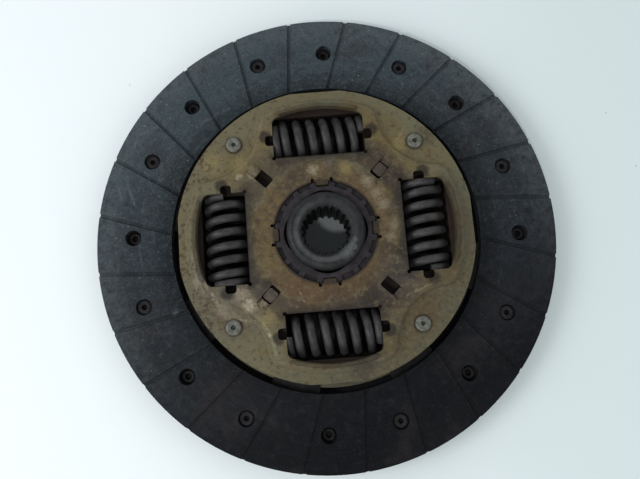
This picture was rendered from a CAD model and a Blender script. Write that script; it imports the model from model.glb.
from math import cos, pi, radians, sin

import bpy
from mathutils import Matrix, Vector


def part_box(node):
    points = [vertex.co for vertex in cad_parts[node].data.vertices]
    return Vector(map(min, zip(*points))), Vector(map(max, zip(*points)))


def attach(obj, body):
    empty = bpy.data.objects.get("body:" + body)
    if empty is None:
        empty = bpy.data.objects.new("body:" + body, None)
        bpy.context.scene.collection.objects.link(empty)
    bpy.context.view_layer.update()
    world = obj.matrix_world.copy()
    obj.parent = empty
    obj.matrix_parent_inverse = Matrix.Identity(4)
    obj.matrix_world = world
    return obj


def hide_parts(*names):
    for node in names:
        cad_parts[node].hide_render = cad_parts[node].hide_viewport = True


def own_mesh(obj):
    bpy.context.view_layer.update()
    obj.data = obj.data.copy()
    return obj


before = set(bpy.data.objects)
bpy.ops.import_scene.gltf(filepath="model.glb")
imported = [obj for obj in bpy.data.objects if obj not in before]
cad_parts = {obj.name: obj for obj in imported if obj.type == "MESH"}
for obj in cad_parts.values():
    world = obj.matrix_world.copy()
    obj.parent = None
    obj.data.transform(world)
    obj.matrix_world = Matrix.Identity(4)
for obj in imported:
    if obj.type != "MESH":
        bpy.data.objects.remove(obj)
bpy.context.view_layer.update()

# Clutch disc seen from its gearbox side. Metres, hub axis on Z, disc lying on its hub.

mm = 0.001
wearName = "edgeWear"
collection = bpy.context.scene.collection


def makeActive(piece):
    bpy.ops.object.select_all(action="DESELECT")
    piece.select_set(True)
    bpy.context.view_layer.objects.active = piece


def startEdit(piece, mode="VERT"):
    makeActive(piece)
    bpy.ops.object.mode_set(mode="EDIT")
    bpy.ops.mesh.select_mode(type=mode)
    bpy.ops.mesh.select_all(action="SELECT")


def endEdit():
    bpy.ops.object.mode_set(mode="OBJECT")


def applyPlace(piece):
    makeActive(piece)
    bpy.ops.object.transform_apply(location=True, rotation=True, scale=True)


def applyModifier(piece, kind, **settings):
    modifier = piece.modifiers.new(kind.lower(), kind)
    for key, value in settings.items():
        setattr(modifier, key, value)
    makeActive(piece)
    bpy.ops.object.modifier_apply(modifier=modifier.name)


def smooth(piece, degreesLimit=35):
    makeActive(piece)
    bpy.ops.object.shade_smooth_by_angle(angle=radians(degreesLimit))


def copyOf(piece, name):
    twin = bpy.data.objects.new(name, piece.data.copy())
    collection.objects.link(twin)
    return twin


def joinPieces(parts, name):
    makeActive(parts[0])
    for part in parts[1:]:
        part.select_set(True)
    bpy.ops.object.join()
    parts[0].name = name
    return parts[0]


def discard(piece):
    bpy.data.objects.remove(piece)


def finishPiece(piece, body, nodes, material):
    piece.data.materials.clear()
    piece.data.materials.append(material)
    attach(piece, body)
    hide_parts(*nodes)


def roundedCopy(node, name, edge):
    # a merged copy of a node with its sharp edges rolled over; the rolled faces are marked as edge wear
    piece = copyOf(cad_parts[node], name)
    startEdit(piece)
    bpy.ops.mesh.remove_doubles(threshold=edge["merge"])
    bpy.ops.mesh.dissolve_limited(angle_limit=radians(edge["flat"]))
    endEdit()
    piece.data.materials.clear()
    for number in range(2):
        piece.data.materials.append(None)
    for face in piece.data.polygons:
        face.material_index = 0
    applyModifier(
        piece,
        "BEVEL",
        width=edge["width"],
        segments=edge["segments"],
        limit_method="ANGLE",
        angle_limit=radians(edge["corner"]),
        use_clamp_overlap=True,
        miter_outer="MITER_ARC",
        material=1,
    )
    mark = piece.data.attributes.new(wearName, "FLOAT", "FACE")
    for face, value in zip(piece.data.polygons, mark.data):
        value.value = float(face.material_index == 1)
    for face in piece.data.polygons:
        face.material_index = 0
    smooth(piece, edge["smooth"])
    applyModifier(piece, "WEIGHTED_NORMAL", keep_sharp=True, weight=edge["flatness"])
    return piece


def lathePiece(name, profile, sides):
    # rings of (radius, height) joined in order round the Z axis, closed by a face at each end
    lastRadius, lastHeight = profile[0]
    bpy.ops.mesh.primitive_circle_add(
        vertices=sides, radius=lastRadius, fill_type="NGON", location=(0, 0, lastHeight)
    )
    piece = bpy.context.active_object
    piece.name = name
    applyPlace(piece)
    startEdit(piece, "FACE")
    for radius, height in profile[1:]:
        bpy.ops.mesh.extrude_region_move(
            TRANSFORM_OT_translate={"value": (0, 0, height - lastHeight)}
        )
        shrink = radius / lastRadius
        bpy.ops.transform.resize(value=(shrink, shrink, 1), center_override=(0, 0, height))
        lastRadius, lastHeight = radius, height
    bpy.ops.mesh.select_all(action="SELECT")
    bpy.ops.mesh.normals_make_consistent(inside=False)
    endEdit()
    smooth(piece)
    return piece


def ringOf(pattern, name, radius, count, *starts):
    # copies of one small part spaced round the hub axis, as one piece
    parts = []
    for start in starts:
        for number in range(count):
            angle = radians(start + number * 360 / count)
            twin = copyOf(pattern, name)
            twin.location = (radius * cos(angle), radius * sin(angle), 0)
            twin.rotation_euler = (0, 0, angle)
            applyPlace(twin)
            parts.append(twin)
    return joinPieces(parts, name)


class Paint:
    # one material's node tree in millimetres, with short calls for the nodes it uses;
    # tones are named as in the look that it is made with

    def __init__(self, name, look):
        self.look = look
        self.base = None
        self.material = bpy.data.materials.new(name)
        self.material.use_nodes = True
        self.tree = self.material.node_tree
        self.shader = self.tree.nodes["Principled BSDF"]
        place = self.node("ShaderNodeTexCoord").outputs["Object"]
        self.place = self.vectorMath("SCALE", place, scale=1000.0)
        self.x, self.y, self.z = self.node("ShaderNodeSeparateXYZ", Vector=self.place).outputs
        self.flat = self.vectorMath("MULTIPLY", self.place, (1, 1, 0))
        self.radius = self.vectorMath("LENGTH", self.flat)
        self.ragged = self.wander(self.flat, 0.3, 4.0)
        self.drawn = self.wander(self.flat, 0.25, 1.5)
        self.crumble = self.take(self.noise(0.75, 4, 0.65, offset=(3, 1, 4)), 0.5)

    def node(self, kind, settings=None, **inputs):
        node = self.tree.nodes.new(kind)
        for key, value in (settings or {}).items():
            setattr(node, key, value)
        for key, value in inputs.items():
            self.feed(node.inputs[key], value)
        return node

    def feed(self, socket, value):
        if isinstance(value, bpy.types.NodeSocket):
            self.tree.links.new(value, socket)
        else:
            socket.default_value = value

    def math(self, operation, *values):
        node = self.node("ShaderNodeMath", {"operation": operation})
        for socket, value in zip(node.inputs, values):
            self.feed(socket, value)
        return node.outputs[0]

    def vectorMath(self, operation, *values, scale=None):
        node = self.node("ShaderNodeVectorMath", {"operation": operation})
        for socket, value in zip(node.inputs, values):
            self.feed(socket, value)
        if scale is not None:
            self.feed(node.inputs["Scale"], scale)
        single = operation in ("LENGTH", "DISTANCE", "DOT_PRODUCT")
        return node.outputs["Value" if single else "Vector"]

    def add(self, first, second):
        return self.math("ADD", first, second)

    def take(self, first, second):
        return self.math("SUBTRACT", first, second)

    def times(self, *factors):
        product = factors[0]
        for factor in factors[1:]:
            product = self.math("MULTIPLY", product, factor)
        return product

    def most(self, first, second):
        return self.math("MAXIMUM", first, second)

    def least(self, first, second):
        return self.math("MINIMUM", first, second)

    def blend(self, value, low, high, bottom=0.0, top=1.0):
        # smooth step from bottom to top as the value goes from low to high
        if low > high:
            low, high, bottom, top = high, low, top, bottom
        node = self.node("ShaderNodeMapRange", {"interpolation_type": "SMOOTHSTEP"})
        for socket, number in zip(node.inputs, (value, low, high, bottom, top)):
            self.feed(socket, number)
        return node.outputs[0]

    def band(self, value, first, full, last, end):
        # 1 from full to last, fading to 0 at first and end
        return self.times(self.blend(value, first, full), self.blend(value, end, last))

    def noise(self, scale, detail, roughness=0.55, vector=None, offset=None, output=0):
        vector = vector or self.place
        if offset is not None:
            vector = self.vectorMath("ADD", vector, offset)
        node = self.node(
            "ShaderNodeTexNoise", Vector=vector, Scale=scale, Detail=detail, Roughness=roughness
        )
        return node.outputs[output]

    def wander(self, vector, scale, reach):
        # the same place pushed about by noise, for marks with ragged outlines
        push = self.vectorMath("SUBTRACT", self.noise(scale, 3, 0.6, output=1), (0.5, 0.5, 0.5))
        return self.vectorMath("ADD", vector, self.vectorMath("SCALE", push, scale=reach))

    def cells(self, scale):
        # distance to the middle of the nearest cell, in cells
        return self.node("ShaderNodeTexVoronoi", Vector=self.place, Scale=scale).outputs[0]

    def rings(self, across, along, offset=0.0):
        # a noise space stretched along circles round the hub axis, without a seam
        outward = self.math("DIVIDE", along, self.most(self.radius, 1.0))
        return self.node(
            "ShaderNodeCombineXYZ",
            X=self.times(self.x, outward),
            Y=self.times(self.y, outward),
            Z=self.add(self.times(self.radius, across), offset),
        ).outputs[0]

    def mix(self, amount, first, second):
        node = self.node("ShaderNodeMix", {"data_type": "RGBA"})
        for index, value in ((0, amount), (6, first), (7, second)):
            self.feed(node.inputs[index], value)
        return node.outputs[2]

    def start(self, value, *stops):
        # the first colours: tones joined smoothly as the value goes from stop to stop
        low, tone = stops[0]
        self.base = self.look[tone]
        for high, tone in stops[1:]:
            self.base = self.mix(self.blend(value, low, high), self.base, self.look[tone])
            low = high

    def lay(self, tone, *amounts):
        # a tone over the colours so far, as strong as its amounts multiplied
        self.base = self.mix(self.times(*amounts), self.base, self.look[tone])

    def wear(self):
        return self.node("ShaderNodeAttribute", {"attribute_name": wearName}).outputs["Fac"]

    def folded(self, angle):
        # distances along and beside the nearest of four arms, the first at this angle
        across = radians(angle)
        arms = []
        for arm in ((cos(across), sin(across), 0), (-sin(across), cos(across), 0)):
            arms.append(self.math("ABSOLUTE", self.vectorMath("DOT_PRODUCT", self.flat, arm)))
        return self.most(*arms), self.least(*arms)

    def near(self, along, aside, middle, size, soft):
        # 1 round a point on each of the four arms, fading outwards
        flat = self.node("ShaderNodeCombineXYZ", X=along, Y=aside).outputs[0]
        distance = self.vectorMath("DISTANCE", self.wander(flat, 0.5, 1.6), (*middle, 0))
        return self.blend(distance, size * (1 + soft), size * (1 - soft))

    def spot(self, centre, size, soft):
        # 1 inside a ragged patch, fading outwards
        distance = self.vectorMath("DISTANCE", self.ragged, (*centre, 0))
        distance = self.add(distance, self.times(self.crumble, size * 2.4))
        return self.blend(distance, size * (1 + soft), size * (1 - soft))

    def stroke(self, start, end, width):
        # 1 on a mark from start to end, fading at its sides
        run = Vector((*end, 0)) - Vector((*start, 0))
        reach = self.vectorMath("SUBTRACT", self.drawn, (*start, 0))
        along = self.vectorMath("DOT_PRODUCT", reach, run.normalized())
        along = self.least(self.most(along, 0.0), run.length)
        nearest = self.vectorMath("SCALE", run.normalized(), scale=along)
        miss = self.vectorMath("DISTANCE", reach, nearest)
        return self.blend(miss, width, width * 0.2)

    def bump(self, height, depth):
        return self.node(
            "ShaderNodeBump", Height=height, Distance=depth * mm, Strength=1.0
        ).outputs[0]

    def finish(self, roughness, normal, metallic, specular):
        for name, value in (
            ("Base Color", self.base),
            ("Roughness", roughness),
            ("Normal", normal),
            ("Metallic", metallic),
            ("Specular IOR Level", specular),
        ):
            self.feed(self.shader.inputs[name], value)
        return self.material


def colour(red, green, blue):
    # a screen colour, 0 to 255, as the linear colour that nodes take
    linear = []
    for part in (red / 255, green / 255, blue / 255):
        linear.append(part / 12.92 if part <= 0.04045 else ((part + 0.055) / 1.055) ** 2.4)
    return (*linear, 1.0)


liningLook = {
    "dry": colour(60, 71, 76),
    "middle": colour(42, 47, 52),
    "dull": colour(28, 30, 34),
    "oily": colour(11, 12, 16),
    "brown": colour(46, 40, 40),
    "dust": colour(92, 99, 102),
    "deep": colour(17, 18, 21),
    "flake": colour(134, 134, 128),
    "slope": (-0.3, 0.95, 0),  # towards the dry side
    "insideZone": (86, 73),  # zones are radii or heights that a tone fades between, in millimetres
    "outsideZone": (92, 105),
    "rimZone": (106.6, 107.2),
    "faceZones": ((10.8, 11.25), (4.4, 3.95)),
    "rivetCircle": 90.6,
    "holes": (62.2, 86.3),  # angles of the first hole of each kind
    "holeSize": 3.75,
    "scratches": (
        ((-89, 50), (-85, 56.6), 0.9, 0.5),
        ((-85, 56.6), (-77, 59.6), 0.9, 0.5),
        ((-93.4, 35.5), (-89, 21), 0.8, 0.55),
        ((-97, 33), (-95.4, 25), 0.8, 0.5),
        ((-80, 27), (-84, 38), 0.7, 0.35),
        ((-86, -12), (-88, 4), 0.7, 0.3),
        ((-55, 60), (-42, 66), 1.2, 0.4),
        ((14, 70), (23, 67.4), 0.8, 0.3),
        ((-73, -31.5), (-71, -30), 1.2, 0.5),
    ),
}


def makeLining(look):
    paint = Paint("frictionLining", look)
    slope = paint.vectorMath("DOT_PRODUCT", paint.flat, look["slope"])
    cloud = paint.noise(0.035, 5, 0.6)
    fuzz = paint.noise(0.28, 6, 0.72, offset=(2, 30, 6))
    wobble = paint.add(slope, paint.times(paint.take(cloud, 0.5), 70.0))
    wobble = paint.add(wobble, paint.times(paint.take(fuzz, 0.5), 60.0))
    paint.start(wobble, (-85, "oily"), (-50, "dull"), (0, "middle"), (88, "dry"))
    brown = paint.noise(0.05, 4, 0.6, offset=(60, 7, 3))
    paint.lay("brown", paint.blend(brown, 0.5, 0.68, 0.0, 0.4))
    drier = paint.blend(slope, -80, 60, 0.12, 1.0)
    # darker towards the plate, dusty round the outside
    paint.lay("oily", paint.blend(paint.radius, *look["insideZone"], 0.0, 0.5))
    outer = paint.blend(paint.radius, *look["outsideZone"], 0.0, 0.42)
    uneven = paint.blend(fuzz, 0.35, 0.6, 0.5, 1.0)
    paint.lay("dust", outer, paint.blend(slope, -75, 30), uneven)
    # dust in soft blotches and curved rubbing streaks
    paint.lay("dust", paint.blend(fuzz, 0.5, 0.72), drier, 0.34)
    paint.lay("deep", paint.blend(fuzz, 0.48, 0.3, 0.0, 0.35))
    fine = paint.noise(1.0, 3, 0.6, vector=paint.rings(1.7, 6.0))
    wide = paint.noise(1.0, 3, 0.5, vector=paint.rings(0.3, 3.0, 4.0))
    paint.lay("dust", paint.blend(fine, 0.52, 0.72), paint.blend(wide, 0.4, 0.6), drier, 0.38)
    # fibres, darker pores and a few bright flakes
    weave = paint.noise(1.1, 5, 0.7, offset=(0, 0, 40))
    paint.lay("dust", paint.blend(weave, 0.5, 0.7), drier, 0.42)
    grain = paint.noise(2.2, 4, 0.7)
    paint.lay("deep", paint.blend(grain, 0.44, 0.64, 0.0, 0.5))
    chosen = paint.blend(paint.noise(0.22, 2, 0.5, offset=(4, 4, 0)), 0.48, 0.58)
    paint.lay("flake", paint.blend(paint.cells(0.34), 0.14, 0.06), chosen, drier, 0.6)
    patchy = paint.blend(paint.noise(0.45, 4, 0.7, offset=(8, 1, 5)), 0.36, 0.58)
    for start, end, width, strength in look["scratches"]:
        paint.lay("dust", paint.stroke(start, end, width), patchy, strength)
    # edges are dusty on the dry side
    edge = paint.blend(paint.noise(0.2, 3), 0.42, 0.58)
    paint.lay("dust", paint.wear(), edge, paint.blend(slope, 0, 70, 0.0, 0.5))
    # a trace of dust where the faces and the rim are cut away, as in the grooves
    front, back = look["faceZones"]
    face = paint.most(paint.blend(paint.z, *front), paint.blend(paint.z, *back))
    whole = paint.most(face, paint.blend(paint.radius, *look["rimZone"]))
    paint.lay("dust", paint.take(1.0, whole), paint.blend(slope, -40, 40, 0.05, 0.0))
    # the holes are dark inside
    middle = (look["rivetCircle"], 0)
    for angle in look["holes"]:
        for turn in (0, 45):
            arms = paint.folded(angle + turn)
            paint.lay("deep", paint.near(*arms, middle, look["holeSize"], 0.1), 0.85)
    height = paint.add(paint.times(grain, 0.6), paint.add(paint.times(fine, 0.2), fuzz))
    roughness = paint.blend(cloud, 0.35, 0.65, 0.62, 0.84)
    return paint.finish(roughness, paint.bump(height, 0.16), metallic=0.0, specular=0.12)


plateLook = {
    "olive": colour(98, 96, 75),
    "gold": colour(100, 86, 54),
    "straw": colour(107, 97, 73),
    "ring": colour(88, 72, 49),
    "orange": colour(86, 66, 44),
    "purple": colour(58, 50, 43),
    "grey": colour(88, 82, 74),
    "grime": colour(32, 27, 25),
    "rust": colour(64, 48, 38),
    "yellow": colour(134, 120, 80),
    "bright": colour(164, 152, 130),
    "boreZone": (24.6, 23.6),
    "ringZone": (33.2, 30.8),
    "middleZone": (32, 35, 43, 50),
    "windowZone": (62.5, 58.5),
    "rimZone": (60, 64),
    "rustZones": ((56, 61), (-40, -56)),  # radius, and distance to the right of the axis
    "paleSide": (-0.7, 0.7, 0),
    "windowEdge": (35.4, 21.0),  # distance from the hub axis and half length
    "windowEnds": ((45.9, 24.6), 2.9),
    "pins": (41.8, 59.2, 4.1),  # angle, radius and size of the dirt round them
    "patchStrength": 0.62,
    "patchFade": 0.8,
    "rubbedFade": 0.75,
    "goldPatches": (
        ((-36.8, 34.5), 6.5),
        ((36.3, 36), 6),
        ((-28.5, -36.8), 6),
        ((8, 29), 5),
        ((-26, -10), 6),
    ),
    "yellowPatches": (
        ((-37.4, 35), 3.2),
        ((36.3, 38), 3.2),
        ((-29, -36.8), 3.4),
        ((11, 28), 2.6),
        ((-50, 36), 4),
    ),
    "orangePatches": (((38, -37), 8), ((-10, -27), 8), ((4, -29), 6)),
    "purplePatches": (
        ((-12, 27), 7),
        ((33, 9), 6),
        ((27, -10), 5),
        ((4, -35), 8),
        ((28, 28), 6),
        ((5, 27), 3),
        ((22, -27), 6),
        ((32, -31), 4),
        ((12, -62), 5),
        ((50, 42), 4),
        ((18, -30), 4),
        ((34, -12), 3.5),
    ),
    "grimePatches": (
        ((29, -21), 4.5),
        ((18, -30.5), 4),
        ((32, -12), 3),
        ((-27, -21.5), 2.5),
        ((27, 23), 3),
    ),
    "greyPatches": (
        ((-44, -33), 11),
        ((-52, -22), 9),
        ((4, 31.5), 3.2),
        ((30, -22), 7),
        ((46, 10), 6),
    ),
    "palePatches": (
        ((-4, 28.8), 2.3, 0.6),
        ((20.6, 21.4), 2.4, 0.45),
        ((24, 16), 2.2, 0.4),
        ((27, 10.4), 2.6, 0.42),
        ((30.4, 1), 2.3, 0.3),
        ((28.6, -4.6), 1.9, 0.4),
        ((-39.4, -25.2), 2.8, 0.6),
        ((-36.2, -30.4), 2.6, 0.95),
        ((-31.4, 28.6), 2.4, 0.4),
        ((-29.9, -29.8), 1.4, 0.6),
        ((-49, -31), 3.2, 0.35),
        ((-44, -36), 2.6, 0.35),
        ((-59, -18), 2.4, 0.35),
        ((-37.5, 28), 1.4, 0.7),
        ((-40, 42.5), 1.2, 0.7),
    ),
    "scuffs": (
        ((-56, -18), (-47, -35), 1.3, 0.5),
        ((-46, -35.6), (-34, -37.5), 1.0, 0.5),
        ((-31, -39), (-26, -48), 1.2, 0.5),
        ((36, 41), (40.5, 47), 0.8, 0.35),
        ((33, -31), (47, -26), 1.0, 0.35),
        ((-14, -25), (-12, -31), 0.7, 0.3),
    ),
}


def makePlate(name, look, dirt):
    paint = Paint(name, look)
    cloud = paint.noise(0.05, 5, 0.6)
    blotch = paint.noise(0.16, 5, 0.65, offset=(9, 4, 0))
    small = paint.noise(0.7, 5, 0.7, offset=(3, 8, 2))
    sway = paint.times(paint.take(blotch, 0.5), 14.0)
    reach = paint.add(paint.radius, sway)
    paint.start(cloud, (0.38, "gold"), (0.62, "olive"))
    paint.lay("straw", paint.blend(blotch, 0.5, 0.7, 0.0, 0.6))
    paint.lay("olive", paint.blend(reach, *look["rimZone"], 0.0, 0.6))
    # browner between the ring round the bore and the windows
    paint.lay("purple", paint.band(reach, *look["middleZone"]), 0.88)
    inside = paint.blend(reach, *look["ringZone"])
    paint.lay("ring", inside)
    marbled = paint.noise(0.33, 5, 0.68, offset=(7, 7, 1))
    paint.lay("gold", inside, paint.blend(marbled, 0.5, 0.62, 0.0, 0.6))
    paint.lay("purple", inside, paint.blend(marbled, 0.46, 0.34, 0.0, 0.75))
    paint.lay("orange", inside, paint.blend(paint.add(paint.y, sway), -14, -24), 0.6)
    # paler on one side, oilier on the other
    lean = paint.add(paint.vectorMath("DOT_PRODUCT", paint.flat, look["paleSide"]), sway)
    paint.lay("straw", paint.blend(lean, 15, 60, 0.0, 0.45))
    paint.lay("purple", paint.blend(lean, -10, -55, 0.0, 0.4))
    for tone in ("gold", "yellow", "orange", "purple", "grey", "grime"):
        for centre, size in look[f"{tone}Patches"]:
            paint.lay(tone, paint.spot(centre, size, look["patchFade"]), look["patchStrength"])
    mottled = paint.noise(0.5, 6, 0.72, offset=(2, 9, 5))
    paint.lay("straw", paint.blend(mottled, 0.51, 0.64, 0.0, 0.57))
    paint.lay("purple", paint.blend(mottled, 0.47, 0.34, 0.0, 0.75))
    # rust along the left of the rim, small stains everywhere
    rusty = paint.blend(paint.noise(0.4, 4, 0.65, offset=(1, 5, 0)), 0.52, 0.6)
    rim, left = look["rustZones"]
    paint.lay("rust", paint.blend(reach, *rim), paint.blend(paint.x, *left), rusty, 0.75)
    paint.lay("purple", paint.blend(small, 0.55, 0.75, 0.0, 0.55))
    # bright rubbed marks and edges
    patchy = paint.blend(paint.noise(1.5, 4, 0.7, offset=(6, 3, 8)), 0.34, 0.64, 0.4, 1.0)
    for centre, size, strength in look["palePatches"]:
        paint.lay("bright", paint.spot(centre, size, look["rubbedFade"]), patchy, strength)
    broken = paint.blend(paint.noise(0.5, 4, 0.6, offset=(6, 3, 8)), 0.4, 0.62)
    for start, end, width, strength in look["scuffs"]:
        paint.lay("bright", paint.stroke(start, end, width), broken, strength)
    paint.lay("bright", paint.wear(), paint.blend(paint.noise(0.3, 3), 0.4, 0.58), 0.4)
    # grime along the inner edge and the sides of the windows and at their ends
    along, aside = paint.folded(0)
    inner, half = look["windowEdge"]
    gap = paint.add(paint.most(paint.take(inner, along), paint.take(aside, half)), sway)
    paint.lay("grime", paint.blend(gap, 4.2, 0.6), paint.blend(along, inner + 3, inner), 0.55)
    bent = paint.times(sway, 0.4)
    sooty = paint.times(
        paint.blend(paint.add(aside, bent), half + 3, half - 5),
        paint.blend(paint.add(paint.radius, bent), *look["windowZone"]),
    )
    paint.lay("grime", sooty, paint.blend(along, inner - 1, inner), 0.58)
    paint.lay("grime", paint.near(along, aside, *look["windowEnds"], 0.35), 0.8)
    # and round the pins and the bore
    angle, circle, size = look["pins"]
    paint.lay("grime", paint.near(*paint.folded(angle), (circle, 0), size, 0.2), 0.7)
    paint.lay("grime", paint.blend(paint.radius, *look["boreZone"], 0.0, 0.7))
    paint.lay("grime", dirt(paint))
    height = paint.add(paint.times(small, 0.5), paint.times(blotch, 0.5))
    roughness = paint.blend(small, 0.35, 0.65, 0.42, 0.62)
    return paint.finish(roughness, paint.bump(height, 0.09), metallic=0.1, specular=0.28)


dirtZones = {
    "coverUnderside": (20.4, 19.0),  # the side that faces the hub flange
    "driveTop": (6.6, 7.0),  # the face under the cover, cleaner at the rim
    "driveRim": (67, 65),
}


def coverDirt(paint):
    return paint.blend(paint.z, *dirtZones["coverUnderside"], 0.0, 0.25)


def driveDirt(paint):
    top = paint.blend(paint.z, *dirtZones["driveTop"], 0.0, 0.85)
    return paint.times(top, paint.blend(paint.radius, *dirtZones["driveRim"]))


steelLooks = {
    "springWire": {
        "dark": colour(49, 47, 48),
        "light": colour(67, 66, 66),
        "stain": colour(50, 43, 39),
        "worn": colour(86, 84, 84),
        "patch": 0.2,
        "gloss": (0.42, 0.6),
        "metallic": 0.3,
        "specular": 0.3,
    },
    "plateRivet": {
        "dark": colour(82, 83, 76),
        "light": colour(112, 113, 105),
        "stain": colour(66, 60, 52),
        "worn": colour(126, 126, 118),
        "pit": colour(30, 32, 30),
        "pits": ((41.8,), 59.2, 1.05),  # angles, circle and size of their dark dimples
        "patch": 0.5,
        "gloss": (0.45, 0.65),
        "metallic": 0.2,
        "specular": 0.35,
    },
    "facingRivet": {
        "dark": colour(22, 21, 24),
        "light": colour(37, 35, 38),
        "stain": colour(40, 31, 30),
        "worn": colour(48, 46, 48),
        "pit": colour(9, 9, 10),
        "pits": ((62.2, 17.2, 86.3, 41.3), 90.6, 1.35),
        "patch": 0.4,
        "gloss": (0.55, 0.75),
        "metallic": 0.1,
        "specular": 0.2,
    },
    "springSheet": {
        "dark": colour(28, 28, 30),
        "light": colour(42, 41, 42),
        "stain": colour(42, 34, 30),
        "worn": colour(54, 52, 52),
        "patch": 0.15,
        "gloss": (0.7, 0.85),
        "metallic": 0.0,
        "specular": 0.1,
    },
    "pressedRing": {
        "dark": colour(64, 59, 50),
        "light": colour(88, 80, 70),
        "stain": colour(56, 47, 40),
        "worn": colour(126, 118, 106),
        "oily": (0.7, 0.7, 0),  # its darker side
        "patch": 0.3,
        "gloss": (0.4, 0.6),
        "metallic": 0.2,
        "specular": 0.35,
    },
    "bushPolymer": {
        "dark": colour(30, 27, 30),
        "light": colour(48, 43, 47),
        "stain": colour(42, 26, 27),
        "worn": colour(60, 55, 58),
        "patch": 0.25,
        "gloss": (0.45, 0.65),
        "metallic": 0.0,
        "specular": 0.3,
    },
    "washerComposite": {
        "dark": colour(38, 27, 23),
        "light": colour(54, 42, 36),
        "stain": colour(32, 24, 20),
        "worn": colour(64, 54, 46),
        "patch": 0.3,
        "gloss": (0.6, 0.8),
        "metallic": 0.0,
        "specular": 0.15,
    },
}


def makeSteel(name):
    look = steelLooks[name]
    paint = Paint(name, look)
    cloud = paint.noise(look["patch"], 5, 0.6)
    grain = paint.noise(1.8, 4, 0.65, offset=(5, 2, 9))
    stain = paint.noise(0.5, 6, 0.7, offset=(1, 9, 4))
    paint.start(cloud, (0.35, "dark"), (0.65, "light"))
    paint.lay("stain", paint.blend(stain, 0.5, 0.7, 0.0, 0.7))
    paint.lay("worn", paint.wear(), paint.blend(grain, 0.4, 0.6), 0.6)
    if "pits" in look:
        angles, circle, size = look["pits"]
        for angle in angles:
            paint.lay("pit", paint.near(*paint.folded(angle), (circle, 0), size, 0.2), 0.85)
    if "oily" in look:
        lean = paint.vectorMath("DOT_PRODUCT", paint.flat, look["oily"])
        paint.lay("stain", paint.blend(lean, 10, 30, 0.0, 0.55))
    roughness = paint.blend(grain, 0.3, 0.7, *look["gloss"])
    return paint.finish(roughness, paint.bump(grain, 0.05), look["metallic"], look["specular"])


hubLook = {
    "dark": colour(25, 26, 27),
    "light": colour(39, 40, 41),
    "ring": colour(72, 73, 75),
    "brown": colour(36, 32, 30),
    "flange": colour(52, 42, 37),
    "black": colour(10, 11, 12),
    "worn": colour(112, 116, 116),
    "wornPatches": (((8.6, -10.8), 2.4), ((11.2, -8), 1.6), ((12.6, -5.2), 1.3)),
    "rubbedFade": 0.75,
    "flangeZones": ((18.5, 17.5), (22, 24)),  # heights, then radii
    "noseZone": (25.5, 26.5),
    "rubbedRing": (11.9, 12.8, 13.6, 15.2),
    "streaksEnd": (17, 15),
    "boreZones": ((13.0, 12.5), (27.4, 26.6)),  # radii, then heights
}


def makeHubSteel(look):
    paint = Paint("forgedHub", look)
    cloud = paint.noise(0.22, 5, 0.6)
    grain = paint.noise(1.8, 4, 0.65, offset=(5, 2, 9))
    turned = paint.noise(1.0, 3, 0.6, vector=paint.rings(3.0, 2.0))
    spokes = paint.noise(1.0, 4, 0.6, vector=paint.rings(0.12, 26.0))
    paint.start(cloud, (0.35, "dark"), (0.65, "light"))
    paint.lay("light", paint.blend(turned, 0.5, 0.75, 0.0, 0.5))
    paint.lay("brown", paint.blend(paint.noise(0.5, 5, 0.7), 0.55, 0.72, 0.0, 0.6))
    below, outside = look["flangeZones"]
    paint.lay("flange", paint.blend(paint.z, *below), paint.blend(paint.radius, *outside), 0.85)
    # a rubbed ring round the mouth of the bore, streaked outwards, with softer worn patches
    nose = paint.blend(paint.z, *look["noseZone"])
    ring = paint.times(paint.band(paint.radius, *look["rubbedRing"]), nose)
    lean = paint.blend(paint.add(paint.x, paint.y), 14, -10, 0.3, 1.0)
    paint.lay("ring", ring, lean, paint.blend(cloud, 0.3, 0.6, 0.5, 1.0))
    streaks = paint.times(paint.blend(spokes, 0.5, 0.7), nose)
    paint.lay("ring", streaks, paint.blend(paint.radius, *look["streaksEnd"]), 0.35)
    patchy = paint.blend(paint.noise(1.5, 4, 0.7, offset=(2, 4, 1)), 0.34, 0.64, 0.4, 1.0)
    for centre, size in look["wornPatches"]:
        paint.lay("worn", paint.spot(centre, size, look["rubbedFade"]), nose, patchy, 0.5)
    paint.lay("ring", paint.wear(), paint.blend(grain, 0.35, 0.55), 0.35)
    # black inside the spline
    within, under = look["boreZones"]
    paint.lay("black", paint.blend(paint.radius, *within), paint.blend(paint.z, *under), 0.92)
    roughness = paint.blend(grain, 0.3, 0.7, 0.4, 0.62)
    height = paint.add(paint.times(grain, 0.5), paint.times(turned, 0.4))
    return paint.finish(roughness, paint.bump(height, 0.06), metallic=0.2, specular=0.28)


lining = makeLining(liningLook)
coverPaint = makePlate("coverSheet", plateLook, coverDirt)
drivePaint = makePlate("driveSheet", plateLook, driveDirt)
hubSteel = makeHubSteel(hubLook)
steels = {name: makeSteel(name) for name in steelLooks}
print("materials ready")


edgeSettings = {
    "merge": 2e-6,  # points closer than this become one, in metres
    "flat": 0.6,  # faces this close to one plane are joined first, in degrees
    "width": 0.2 * mm,
    "segments": 2,
    "corner": 32,  # edges sharper than this are rounded, in degrees
    "smooth": 30,
    "flatness": 80,  # how far the large faces decide the shading round them
}
thinEdge = dict(edgeSettings, width=0.1 * mm)


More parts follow.
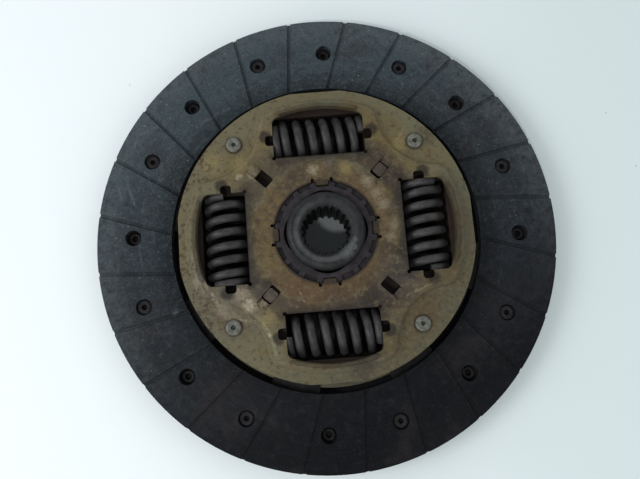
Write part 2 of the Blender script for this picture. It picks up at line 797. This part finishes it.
def makeRoundedPieces():
    for side in ("front", "rear"):
        facing = roundedCopy(f"facing_{side}", f"facing{side.title()}", edgeSettings)
        finishPiece(facing, "disc", [f"facing_{side}"], lining)
    for number in range(1, 9):
        node = f"cushion_segment_{number}"
        segment = roundedCopy(node, f"cushionSegment{number}", thinEdge)
        finishPiece(segment, "disc", [node], steels["springSheet"])
    for node, name, body, slotName, material in (
        ("drive_plate", "drivePlate", "disc", "plated_sheet", drivePaint),
        ("cover_plate", "coverPlate", "disc", "plated_sheet", coverPaint),
        ("splined_hub", "splinedHub", "hub", "forged_hub", hubSteel),
        ("friction_bush", "frictionBush", "disc", "bush_polymer", steels["bushPolymer"]),
        ("rear_bush", "rearBush", "disc", "bush_polymer", steels["bushPolymer"]),
        ("friction_washer_front", "washerFront", "disc", "washer_composite", steels["washerComposite"]),
        ("friction_washer_rear", "washerRear", "disc", "washer_composite", steels["washerComposite"]),
        ("thrust_ring", "thrustRing", "disc", "pressed_ring", steels["pressedRing"]),
        ("cone_spring", "coneSpring", "disc", "spring_sheet", steels["springSheet"]),
    ):
        finishPiece(roundedCopy(node, name, edgeSettings), body, [node], material)


makeRoundedPieces()
print("facings, segments, plates, hub and bushes ready")


pinSettings = {
    "circle": 59.2 * mm,
    "start": 41.8,
    "count": 4,
    "head": 3.45 * mm,
    "shank": 2.8 * mm,
    "barrel": 4.5 * mm,
    "plate": 1.8 * mm,  # thickness of the two plates that the pins hold
    "headHeight": 1.5 * mm,
    "dimple": 1.0 * mm,
    "dimpleDepth": 0.8 * mm,
    "sides": 32,
}


def makeStopPins(settings):
    low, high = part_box("stop_pins")
    head, shank, barrel = settings["head"], settings["shank"], settings["barrel"]
    dimple = settings["dimple"]
    driveLow = low.z + settings["headHeight"]
    driveTop = driveLow + settings["plate"]
    coverTop = high.z - settings["headHeight"]
    coverLow = coverTop - settings["plate"]
    profile = [
        (head * 0.6, low.z),
        (head * 0.84, low.z + 0.12 * mm),
        (head * 0.96, low.z + 0.5 * mm),
        (head, driveLow - 0.5 * mm),
        (head, driveLow),
        (shank, driveLow),
        (shank, driveTop),
        (barrel, driveTop),
        (barrel, coverLow),
        (shank, coverLow),
        (shank, coverTop),
        (head * 0.97, coverTop),
        (head, coverTop + 0.3 * mm),
        (head, high.z - 0.6 * mm),
        (head * 0.96, high.z - 0.3 * mm),
        (head * 0.88, high.z - 0.1 * mm),
        (head * 0.76, high.z),
        (dimple * 1.25, high.z),
        (dimple * 1.05, high.z - 0.12 * mm),
        (dimple * 0.85, high.z - settings["dimpleDepth"] * 0.9),
        (dimple * 0.3, high.z - settings["dimpleDepth"]),
    ]
    pattern = lathePiece("pinPattern", profile, settings["sides"])
    pins = ringOf(pattern, "stopPins", settings["circle"], settings["count"], settings["start"])
    discard(pattern)
    finishPiece(pins, "disc", ["stop_pins"], steels["plateRivet"])


facingRivetSettings = {
    "circle": 90.6 * mm,
    "count": 8,
    "frontStart": 62.2,
    "rearStart": 86.3,
    "head": 3.2 * mm,
    "headHeight": 0.9 * mm,
    "shank": 1.8 * mm,
    "rolled": 2.9 * mm,
    "rolledHeight": 1.0 * mm,
    "hole": 1.15 * mm,
    "web": 0.2 * mm,
    "sides": 24,
}


def makeFacingRivets(settings):
    # tubular rivets: a flat head with a hole, and a rolled end against the segment
    low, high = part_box("facing_rivets_front")
    head, shank, rolled, hole = (settings[key] for key in ("head", "shank", "rolled", "hole"))
    middle = (low.z + high.z) / 2
    underHead = high.z - settings["headHeight"]
    rolledTop = low.z + settings["rolledHeight"]
    profile = [
        (hole * 0.85, middle - settings["web"]),
        (hole, low.z + 0.8 * mm),
        (hole * 1.35, low.z + 0.2 * mm),
        (hole * 1.8, low.z),
        (rolled * 0.9, low.z + 0.1 * mm),
        (rolled, low.z + 0.4 * mm),
        (rolled * 0.96, low.z + 0.8 * mm),
        (rolled * 0.85, rolledTop),
        (shank, rolledTop),
        (shank, underHead),
        (head * 0.97, underHead),
        (head, underHead + 0.15 * mm),
        (head, high.z - 0.25 * mm),
        (head * 0.96, high.z - 0.07 * mm),
        (head * 0.88, high.z),
        (hole * 1.3, high.z),
        (hole * 1.08, high.z - 0.15 * mm),
        (hole * 0.85, middle + settings["web"]),
    ]
    pattern = lathePiece("facingRivetPattern", profile, settings["sides"])
    turned = copyOf(pattern, "turnedRivetPattern")
    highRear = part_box("facing_rivets_rear")[1]
    turned.rotation_euler = (pi, 0, 0)
    turned.location = (0, 0, low.z + highRear.z)
    applyPlace(turned)
    for side, rivet in (("front", pattern), ("rear", turned)):
        name = f"facingRivets{side.title()}"
        start = settings[f"{side}Start"]
        piece = ringOf(rivet, name, settings["circle"], settings["count"], start)
        finishPiece(piece, "disc", [f"facing_rivets_{side}"], steels["facingRivet"])
        discard(rivet)


segmentRivetSettings = {
    "circle": 66.0 * mm,
    "count": 8,
    "starts": (68.25, 80.25),
    "head": 2.8 * mm,
    "headHeight": 1.0 * mm,
    "shank": 1.8 * mm,
    "dome": ((0.35, 1.0), (0.68, 0.9), (0.9, 0.62), (1.0, 0.2), (1.0, 0.0)),  # parts of the head
    "sides": 20,
}


def makeSegmentRivets(settings):
    low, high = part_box("segment_rivets")
    head, rise, shank = settings["head"], settings["headHeight"], settings["shank"]
    dome = settings["dome"]
    profile = [(head * across, low.z + rise - rise * up) for across, up in dome]
    profile += [(shank, low.z + rise), (shank, high.z - rise)]
    profile += [(head * across, high.z - rise + rise * up) for across, up in reversed(dome)]
    pattern = lathePiece("segmentRivetPattern", profile, settings["sides"])
    rivets = ringOf(pattern, "segmentRivets", settings["circle"], settings["count"], *settings["starts"])
    discard(pattern)
    finishPiece(rivets, "disc", ["segment_rivets"], steels["facingRivet"])


makeStopPins(pinSettings)
makeFacingRivets(facingRivetSettings)
makeSegmentRivets(segmentRivetSettings)
print("pins and rivets ready")


springSettings = {
    "wire": 3.9 * mm,
    "outside": 21.0 * mm,
    "circle": 45.5 * mm,
    "turns": 7.1,
    "closedTurns": 0.9,
    "closedRise": 3.978 * mm,
    "stepsPerTurn": 36,
    "wireSides": 18,
    "groundPart": 1 / 3,  # how much of the wire is ground off each end turn
    "smooth": 40,
    "keepAtLimit": 0.764,
}


def makeSpring(settings):
    low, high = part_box("damper_spring_1")
    length = high.y - low.y
    wire = settings["wire"]
    turns, closed = settings["turns"], settings["closedTurns"]
    pathLength = length - wire + 2 * settings["groundPart"] * wire
    activeRise = (pathLength - 2 * closed * settings["closedRise"]) / (turns - 2 * closed)
    bpy.ops.mesh.primitive_circle_add(
        vertices=settings["wireSides"],
        radius=wire / 2,
        location=((settings["outside"] - wire) / 2, 0, 0),
        rotation=(pi / 2, 0, 0),
    )
    spring = bpy.context.active_object
    applyPlace(spring)
    steps = round(turns * settings["stepsPerTurn"])
    applyModifier(
        spring,
        "SCREW",
        axis="Z",
        angle=2 * pi * turns,
        steps=steps,
        render_steps=steps,
        screw_offset=pathLength,
        use_smooth_shade=True,
    )
    # close the end turns: each ring of the wire is lifted to its own height
    for index, vertex in enumerate(spring.data.vertices):
        part = (index // settings["wireSides"]) / steps
        turn = part * turns
        closedPart = min(turn, closed) + max(turn - turns + closed, 0)
        activePart = min(max(turn - closed, 0), turns - 2 * closed)
        height = closedPart * settings["closedRise"] + activePart * activeRise
        vertex.co.z += height - (part + 0.5) * pathLength
    startEdit(spring)
    bpy.ops.mesh.select_all(action="DESELECT")
    bpy.ops.mesh.select_non_manifold()
    bpy.ops.mesh.fill_holes(sides=0)
    for side in (-1, 1):
        # the end turns are ground flat
        bpy.ops.mesh.select_all(action="SELECT")
        bpy.ops.mesh.bisect(
            plane_co=(0, 0, side * length / 2),
            plane_no=(0, 0, side),
            use_fill=True,
            clear_outer=True,
        )
    bpy.ops.mesh.select_all(action="SELECT")
    bpy.ops.mesh.normals_make_consistent(inside=False)
    endEdit()
    smooth(spring, settings["smooth"])
    stand = Matrix(((0, 1, 0), (0, 0, 1), (1, 0, 0))).to_4x4()  # axis along Y, first turn on top
    middle = Vector((settings["circle"], 0, (low.z + high.z) / 2))
    spring.matrix_world = Matrix.Translation(middle) @ stand
    applyPlace(spring)
    return spring


def makeSprings(settings):
    pattern = makeSpring(settings)
    for number in range(4):
        angle = radians(number * 90)
        spring = copyOf(pattern, f"damperSpring{number + 1}")
        spring.rotation_euler = (0, 0, angle)
        applyPlace(spring)
        finishPiece(
            spring, "springs", [f"damper_spring_{number + 1}"], steels["springWire"]
        )
        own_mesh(spring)
    discard(pattern)


makeSprings(springSettings)
print("springs ready")


stageSettings = {
    "floorSize": 16.0,
    "floorNear": colour(238, 244, 246),
    "floorFar": colour(218, 229, 230),
    "underneath": colour(40, 40, 42),
    "shade": (17.0, 20.0, 76.0, 84.0),  # the soiled ring of floor under the disc, in millimetres
    "speck": colour(120, 126, 128),
    "skyColour": (0.95, 0.985, 1.0, 1.0),
    "sideStrength": 0.9,  # light from the walls
    "topStrength": 0.25,  # the sky straight above is dim
    "topEdge": (0.7, 0.92),  # between these heights of the sky, 0 at the floor and 1 overhead
}

lampSettings = {
    "window": {"place": (-0.80, -0.08, 0.68), "size": 0.5, "power": 3.9, "tint": (0.95, 0.98, 1.0)},
    "ceiling": {"place": (-0.26, -0.54, 1.04), "size": 0.1, "power": 2.4, "tint": (1.0, 0.99, 0.96)},
}

cameraSettings = {
    "place": (-3.85 * mm, -42.53 * mm, 282.8 * mm),
    "target": (-2.95 * mm, -1.71 * mm, 11.5 * mm),
    "upwards": (0.0789, 0.9858, 0.1486),
    "lens": 32.93,
    "sensor": 36.0,
}


def makeStage(settings):
    bpy.ops.mesh.primitive_plane_add(size=settings["floorSize"])
    floor = bpy.context.active_object
    floor.name = "floor"
    paint = Paint("paleFloor", settings)
    cloud = paint.noise(0.012, 4, 0.6)
    drift = paint.add(paint.x, paint.times(paint.take(cloud, 0.5), 120.0))
    paint.start(drift, (-140, "floorNear"), (150, "floorFar"))
    chosen = paint.blend(paint.noise(0.11, 2, 0.5, offset=(5, 2, 0)), 0.56, 0.64)
    paint.lay("speck", paint.blend(paint.cells(0.1), 0.07, 0.03), chosen, 0.6)
    first, full, last, end = settings["shade"]
    soiled = paint.blend(paint.radius, first, full, 0.45, 1.0)
    paint.lay("underneath", soiled, paint.blend(paint.radius, end, last))
    material = paint.finish(0.7, paint.bump(cloud, 0.02), metallic=0.0, specular=0.2)
    floor.data.materials.append(material)
    world = bpy.data.worlds.new("paleWorld")
    bpy.context.scene.world = world
    world.use_nodes = True
    nodes, links = world.node_tree.nodes, world.node_tree.links
    direction = nodes.new("ShaderNodeTexCoord")
    split = nodes.new("ShaderNodeSeparateXYZ")
    fade = nodes.new("ShaderNodeMapRange")
    fade.interpolation_type = "SMOOTHSTEP"
    limits = (*settings["topEdge"], settings["sideStrength"], settings["topStrength"])
    for socket, value in zip(fade.inputs[1:5], limits):
        socket.default_value = value
    background = nodes["Background"]
    background.inputs["Color"].default_value = settings["skyColour"]
    links.new(direction.outputs["Generated"], split.inputs[0])
    links.new(split.outputs["Z"], fade.inputs["Value"])
    links.new(fade.outputs[0], background.inputs["Strength"])


def makeLamps(settings):
    for name, values in settings.items():
        lamp = bpy.data.lights.new(name, "AREA")
        lamp.shape = "DISK"
        lamp.size = values["size"]
        lamp.energy = values["power"]
        lamp.color = values["tint"]
        holder = bpy.data.objects.new(name, lamp)
        collection.objects.link(holder)
        place = Vector(values["place"])
        holder.location = place
        holder.rotation_euler = (-place).to_track_quat("-Z", "Y").to_euler()


def makeCamera(settings):
    camera = bpy.data.cameras.new("camera")
    camera.lens = settings["lens"]
    camera.sensor_width = settings["sensor"]
    camera.sensor_fit = "HORIZONTAL"
    holder = bpy.data.objects.new("camera", camera)
    collection.objects.link(holder)
    place, target = Vector(settings["place"]), Vector(settings["target"])
    back = (place - target).normalized()
    right = Vector(settings["upwards"]).cross(back).normalized()
    turn = Matrix((right, back.cross(right), back)).transposed().to_4x4()
    holder.matrix_world = Matrix.Translation(place) @ turn
    bpy.context.scene.camera = holder


makeStage(stageSettings)
makeLamps(lampSettings)
makeCamera(cameraSettings)
bpy.context.scene.view_settings.view_transform = "Standard"
print("stage ready")
